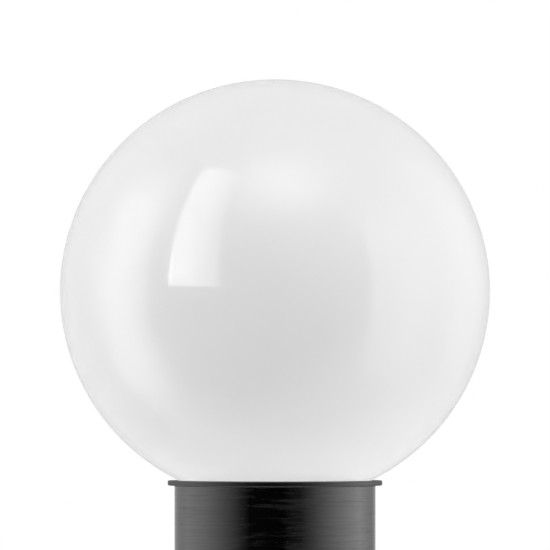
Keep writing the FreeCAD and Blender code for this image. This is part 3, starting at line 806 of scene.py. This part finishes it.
EMITTERS = 8
EMITTER_CIRCLE = 0.0165
EMITTER_SIDE = 0.0035
EMITTER_HEIGHT = 0.0007
EMITTER_RIM = 0.0004
EMITTER_WALL = 0.00015
EMITTER_DIP = 0.0002
EMITTER_EDGE = 0.0001
PHOSPHOR_REACH = 0.0008
FACES_UP = 0.9
board_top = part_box("lamp_board")[1].z
select_none()
bpy.ops.mesh.primitive_cube_add(size=1.0, location=(0, 0, EMITTER_HEIGHT / 2))
pattern_chip = bpy.context.object
pattern_chip.scale = (EMITTER_SIDE, EMITTER_SIDE, EMITTER_HEIGHT)
bpy.ops.object.transform_apply(location=True, rotation=True, scale=True)
bpy.ops.object.mode_set(mode="EDIT")
bpy.ops.mesh.select_mode(type="FACE")
bpy.ops.mesh.select_all(action="DESELECT")
chip_mesh = bmesh.from_edit_mesh(pattern_chip.data)
for face in chip_mesh.faces:
    face.select = face.normal.z > FACES_UP
bmesh.update_edit_mesh(pattern_chip.data)
bpy.ops.mesh.inset(thickness=EMITTER_RIM, depth=0.0)
bpy.ops.mesh.inset(thickness=EMITTER_WALL, depth=-EMITTER_DIP)
bpy.ops.mesh.select_mode(type="VERT")
bpy.ops.object.mode_set(mode="OBJECT")
bevelled(pattern_chip, EMITTER_EDGE, steps=2)
phosphor = emitter()
for number in range(EMITTERS):
    swing = math.tau * number / EMITTERS
    chip = bpy.data.objects.new(f"emitter_{number + 1}", pattern_chip.data.copy())
    bpy.context.scene.collection.objects.link(chip)
    fitted(chip, mask, "lamp")
    chip.data.materials.append(phosphor.material)
    for face in chip.data.polygons:
        from_middle = max(abs(face.center.x), abs(face.center.y))
        if face.normal.z > FACES_UP and from_middle < PHOSPHOR_REACH:
            face.material_index = 1
    seat = Vector((math.cos(swing), math.sin(swing), 0)) * EMITTER_CIRCLE
    for vert in chip.data.vertices:
        vert.co += seat + Vector((0, 0, board_top))
bpy.data.objects.remove(pattern_chip)

# ---------------------------------------------------------------- globe
# Blown opal glass, glossy, a little flatter than a sphere, open at a neck that carries one
# raised turn and a half of thread.


def opal_glass():
    """White opal glass with a clear, smooth surface."""
    finish = Finish("opal_glass", IOR=1.5)
    cloud = finish.noise(scale=18.0, detail=3.0, roughness=0.5)
    finish.feed(
        Base_Color=finish.mix(cloud, (0.86, 0.868, 0.86), (0.9, 0.905, 0.9)),
        Roughness=0.05 + cloud * 0.03,
    )
    return finish


globe_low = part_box("globe_bowl")[0]
globe_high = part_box("globe_dome")[1]
GLOBE_RADIUS = 0.1
GLOBE_HALF_HEIGHT = 0.0985
GLOBE_MIDDLE = globe_high.z - GLOBE_HALF_HEIGHT
GLOBE_SEGMENTS = 192
GLOBE_RINGS = 128
GLOBE_CREASE = 50.0
GLASS_WALL = 0.003
NECK_RADIUS = 0.04025
NECK_TOP = GLOBE_MIDDLE - GLOBE_HALF_HEIGHT * math.sqrt(1 - (NECK_RADIUS / GLOBE_RADIUS) ** 2)
NECK_RINGS = 48
NECK_STEP = (NECK_TOP - globe_low.z) / NECK_RINGS

select_none()
bpy.ops.mesh.primitive_uv_sphere_add(
    segments=GLOBE_SEGMENTS,
    ring_count=GLOBE_RINGS,
    radius=GLOBE_RADIUS,
    location=(0, 0, GLOBE_MIDDLE),
)
globe = bpy.context.object
globe.name = "globe_glass"
globe.scale = (1.0, 1.0, GLOBE_HALF_HEIGHT / GLOBE_RADIUS)
bpy.ops.object.transform_apply(location=True, rotation=True, scale=True)
bpy.ops.object.mode_set(mode="EDIT")
bpy.ops.mesh.select_all(action="SELECT")
bpy.ops.mesh.bisect(
    plane_co=(0, 0, NECK_TOP), plane_no=(0, 0, 1), clear_inner=True, use_fill=False
)
bpy.ops.mesh.select_all(action="DESELECT")
bpy.ops.mesh.select_non_manifold()
for ring in range(NECK_RINGS):
    bpy.ops.mesh.extrude_region_move(TRANSFORM_OT_translate={"value": (0, 0, -NECK_STEP)})
bpy.ops.object.mode_set(mode="OBJECT")

# The neck's thread is a low rounded ridge that fades in and out at its ends.
GLOBE_PITCH = 0.005
RIDGE_HEIGHT = 0.002
RIDGE_TURNS = 1.5
RIDGE_START = globe_low.z + 0.0022
RIDGE_HALF_WIDTH = 0.0012
RIDGE_FLANK = 0.0006
RIDGE_FADE_TURNS = 0.04
JUST_BELOW_TOP = NECK_TOP - 1e-5
for vert in globe.data.vertices:
    if vert.co.z < JUST_BELOW_TOP:
        part_turn = math.atan2(vert.co.y, vert.co.x) / math.tau % 1.0
        turns_up = (vert.co.z - RIDGE_START) / GLOBE_PITCH - part_turn
        nearest = max(0, min(round(turns_up), 1 if part_turn < RIDGE_TURNS - 1 else 0))
        away = abs(turns_up - nearest) * GLOBE_PITCH
        swell = max(0.0, min(1.0, (RIDGE_HALF_WIDTH - away) / RIDGE_FLANK))
        swell = swell * swell * (3 - 2 * swell)
        total = part_turn + nearest
        to_end = min(total, RIDGE_TURNS - total)
        fade = max(0.0, min(1.0, to_end / RIDGE_FADE_TURNS))
        grow = 1.0 + RIDGE_HEIGHT * swell * fade / NECK_RADIUS
        vert.co.x *= grow
        vert.co.y *= grow
wall = globe.modifiers.new("wall", "SOLIDIFY")
wall.thickness = GLASS_WALL
wall.offset = -1.0
bpy.context.view_layer.objects.active = globe
bpy.ops.object.modifier_apply(modifier="wall")
smooth(globe, GLOBE_CREASE)
dress(globe, opal_glass())
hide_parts("globe_bowl", "globe_dome")
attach(globe, "globe")

# ---------------------------------------------------------------- studio
# Pale plain floor under the light, and soft studio light all round it that is darker towards
# the camera. A tall softbox stands at the upper left, and a pale screen each side of the camera.

# Brightness of the studio round the light, by azimuth in degrees from the camera: a dark
# opening at the camera, walls that brighten to the sides, and a paler wall behind.
SURROUND = [
    (-180, 0.7), (-120, 0.9), (-90, 0.65), (-60, 0.3), (-40, 0.08), (-30, 0.01),
    (10, 0.005), (30, 0.05), (45, 0.2), (70, 0.55), (115, 1.2), (150, 0.75), (180, 0.7),
]
OVERHEAD = 0.45
UNDERFOOT = 0.15
# Elevations, up or down, between which the surround gives way to what is over or under it.
BLEND_STARTS = 20.0
BLEND_ENDS = 75.0
WHITE = (1.0, 1.0, 1.0, 1.0)
# Soft round lamps aimed at the globe: azimuth, elevation, reach in degrees and radiance.
LAMPS = [
    (-90, 0, 28, 1.6), (-90, -30, 28, 1.6), (-90, 30, 28, 1.4), (165, -60, 50, 0.7),
    (15, 60, 28, 0.9), (75, -60, 50, 0.7), (15, 60, 50, 0.55), (0, 60, 28, 0.95),
    (-90, -60, 28, 0.8), (30, 40, 50, 0.45), (120, 10, 40, 0.35),
]
# Bounced light on the globe, which has no reflection.
BOUNCES = [(0, 0, 62, 0.65), (60, -60, 62, 0.1), (0, -60, 62, 0.2)]
FLOOR_RADIUS = 3.0
FLOOR_SEGMENTS = 96

floor_mesh = bpy.data.meshes.new("floor")
floor_builder = bmesh.new()
bmesh.ops.create_circle(
    floor_builder, cap_ends=True, segments=FLOOR_SEGMENTS, radius=FLOOR_RADIUS
)
floor_builder.to_mesh(floor_mesh)
floor_builder.free()
floor = bpy.data.objects.new("floor", floor_mesh)
floor.visible_diffuse = False
floor.visible_glossy = False
bpy.context.scene.collection.objects.link(floor)
pale = Finish("pale_floor", Roughness=0.9)
pale.shader.inputs["Base Color"].default_value = (0.85, 0.85, 0.85, 1.0)
dress(floor, pale)


def towards(azimuth, elevation):
    """A direction in degrees: 0, 0 is towards the camera, and positive azimuths lie right."""
    across, up = math.radians(azimuth), math.radians(elevation)
    return Vector(
        (math.sin(across) * math.cos(up), -math.cos(across) * math.cos(up), math.sin(up))
    )


# Only the globe is lit by the panels, and only it shows in a reflection or throws light back,
# so its base isn't darkened by the collar.
glass_only = bpy.data.collections.new("glass_only")
glass_only.objects.link(globe)
for piece in bpy.context.scene.objects:
    if piece.type == "MESH" and piece not in (globe, floor):
        piece.visible_diffuse = False
        piece.visible_glossy = False

PANEL_DISTANCE = 4.0


def panel(name, azimuth, elevation, half_width, half_height):
    """A rectangular light on the globe alone; its half sizes are for a distance of one."""
    data = bpy.data.lights.new(name, "AREA")
    data.shape = "RECTANGLE"
    data.size = 2 * half_width * PANEL_DISTANCE
    data.size_y = 2 * half_height * PANEL_DISTANCE
    data.energy = data.size * data.size_y * math.pi
    data.use_nodes = True
    light = bpy.data.objects.new(name, data)
    aim = towards(azimuth, elevation)
    light.location = Vector((0, 0, GLOBE_MIDDLE)) + aim * PANEL_DISTANCE
    light.rotation_euler = aim.to_track_quat("Z", "Y").to_euler()
    light.visible_camera = False
    light.light_linking.receiver_collection = glass_only
    light.light_linking.blocker_collection = glass_only
    bpy.context.scene.collection.objects.link(light)
    return light


def spread(light, pattern):
    """Set a light's brightness over its face from a function of the two ways across it."""
    bench = Bench(light.data.node_tree)
    face = bench.node("ShaderNodeNewGeometry", {}, output="Parametric")
    u = bench.node("ShaderNodeSeparateXYZ", {}, face)
    v = Signal(bench, u.socket.node.outputs["Y"])
    strength = pattern(bench, u, v)
    bench.tree.links.new(strength.socket, bench.tree.nodes["Emission"].inputs["Strength"])


# The softbox stands a little askew, so it is seen narrower at its head, and it is brightest
# low down on its left. Its outline is measured from its middle, as its half sizes are.
SOFTBOX_AZIMUTH = -49.5
SOFTBOX_ELEVATION = 34.1
SOFTBOX_HALF_WIDTH = 0.45
SOFTBOX_HALF_HEIGHT = 0.7
SOFTBOX_LEFT = 0.184
SOFTBOX_LEFT_LEAN = -0.0745
SOFTBOX_LEFT_BOW = 0.1466
SOFTBOX_RIGHT = 0.26
SOFTBOX_RIGHT_LEAN = 0.262
SOFTBOX_FOOT = 0.612
SOFTBOX_HEAD = 0.588
SOFTBOX_HEAD_LEAN = 0.16
SOFTBOX_EDGE = 0.01
SOFTBOX_BRIGHTNESS = 3.55
SOFTBOX_FADE_UP = 2.2
SOFTBOX_FADE_RIGHT = 0.45


def softbox_face(bench, u, v):
    """A leaning four-sided face with soft edges."""
    x = (u - 0.5) * (2 * SOFTBOX_HALF_WIDTH)
    y = (v - 0.5) * (2 * SOFTBOX_HALF_HEIGHT)
    left = y * SOFTBOX_LEFT_LEAN - y * y * SOFTBOX_LEFT_BOW - SOFTBOX_LEFT
    right = SOFTBOX_RIGHT - y * SOFTBOX_RIGHT_LEAN
    crisp, soft = SOFTBOX_EDGE, 2 * SOFTBOX_EDGE
    sides = bench.ramp(x - left, -crisp, crisp) * bench.ramp(right - x, -soft, soft)
    foot = bench.ramp(y + SOFTBOX_FOOT, -crisp, crisp)
    head = bench.ramp(SOFTBOX_HEAD + x * SOFTBOX_HEAD_LEAN - y, -crisp, soft)
    width_share = (x - left) / (right - left)
    fall = bench.ramp(width_share, start=0.35, stop=1.05, first=1.0, last=SOFTBOX_FADE_RIGHT)
    return fall * (SOFTBOX_BRIGHTNESS - y * SOFTBOX_FADE_UP) * sides * foot * head


softbox = panel(
    "softbox", SOFTBOX_AZIMUTH, SOFTBOX_ELEVATION, SOFTBOX_HALF_WIDTH, SOFTBOX_HALF_HEIGHT
)
softbox.visible_diffuse = False
spread(softbox, softbox_face)


def round_off(radiance):
    """Brightness that falls smoothly from the middle of a square panel to its edge."""

    def pattern(bench, u, v):
        off = ((u - 0.5) ** 2.0 + (v - 0.5) ** 2.0) ** 0.5 * 2.0
        return bench.ramp(off, start=0.0, stop=1.0, first=radiance, last=0.0)

    return pattern


for number, (azimuth, elevation, reach, radiance) in enumerate(LAMPS + BOUNCES, start=1):
    half = math.tan(math.radians(reach))
    glow = panel(f"lamp_{number}", azimuth, elevation, half, half)
    glow.visible_glossy = number <= len(LAMPS)
    spread(glow, round_off(radiance))

# Soft light from straight above for the floor alone, so that it stays pale.
WASH_STRENGTH = 2.1
WASH_WIDTH = 80.0
floor_only = bpy.data.collections.new("floor_only")
floor_only.objects.link(floor)
wash_data = bpy.data.lights.new("floor_wash", "SUN")
wash_data.energy = WASH_STRENGTH
wash_data.angle = math.radians(WASH_WIDTH)
wash = bpy.data.objects.new("floor_wash", wash_data)
wash.light_linking.receiver_collection = floor_only
bpy.context.scene.collection.objects.link(wash)

# A pale screen each side of the camera, crisp at its near edge and fading away from it:
# azimuth in degrees, half width and radiance.
SCREENS = [(-100, 0.53, 0.9), (80, 0.54, 1.3)]
SCREEN_HALF_HEIGHT = 1.3


def screen_face(radiance, near_on_left):
    """Brightness that starts sharply at the near side and fades out elsewhere."""

    def pattern(bench, u, v):
        away = u if near_on_left else 1 - u
        near = bench.ramp(away, start=0.0, stop=0.05)
        far = bench.ramp(away, start=1.0, stop=0.35)
        foot = bench.ramp(v, start=0.05, stop=0.35)
        head = bench.ramp(v, start=0.95, stop=0.65)
        return near * far * foot * head * radiance

    return pattern


for number, (azimuth, half_width, radiance) in enumerate(SCREENS, start=1):
    screen = panel(f"screen_{number}", azimuth, 0, half_width, SCREEN_HALF_HEIGHT)
    screen.visible_diffuse = False
    spread(screen, screen_face(radiance, azimuth > 0))

world = bpy.data.worlds.new("studio")
bpy.context.scene.world = world
world.use_nodes = True
studio = Bench(world.node_tree)
sky = studio.node("ShaderNodeTexCoord", {}, output="Generated")
sky_x, sky_y, sky_z = (
    studio.node("ShaderNodeSeparateXYZ", {}, sky, output=axis) for axis in range(3)
)
sky_azimuth = sky_x.combine("ARCTAN2", sky_x, sky_y * -1.0) / math.tau + 0.5
sky_elevation = sky_z.combine("ARCSINE") * (180 / math.pi)
surround_stops = [((angle + 180) / 360, (tone, tone, tone, 1.0)) for angle, tone in SURROUND]
sideways = studio.node("ShaderNodeValToRGB", {"stops": surround_stops}, sky_azimuth)
high = studio.ramp(sky_elevation, start=BLEND_STARTS, stop=BLEND_ENDS)
low = studio.ramp(sky_elevation, start=-BLEND_STARTS, stop=-BLEND_ENDS)
sky_strength = sideways * (1 - high - low) + high * OVERHEAD + low * UNDERFOOT
surround = world.node_tree.nodes["Background"]
world.node_tree.links.new(sky_strength.socket, surround.inputs["Strength"])
surround.inputs["Color"].default_value = WHITE
white = studio.node("ShaderNodeBackground", {}, WHITE, 1.0)
seen = studio.node("ShaderNodeLightPath", {}, output="Is Camera Ray")
backdrop = studio.node(
    "ShaderNodeMixShader", {}, seen, Signal(studio, surround.outputs["Background"]), white
)
world.node_tree.links.new(
    backdrop.socket, world.node_tree.nodes["World Output"].inputs["Surface"]
)

bpy.context.scene.view_settings.view_transform = "Standard"
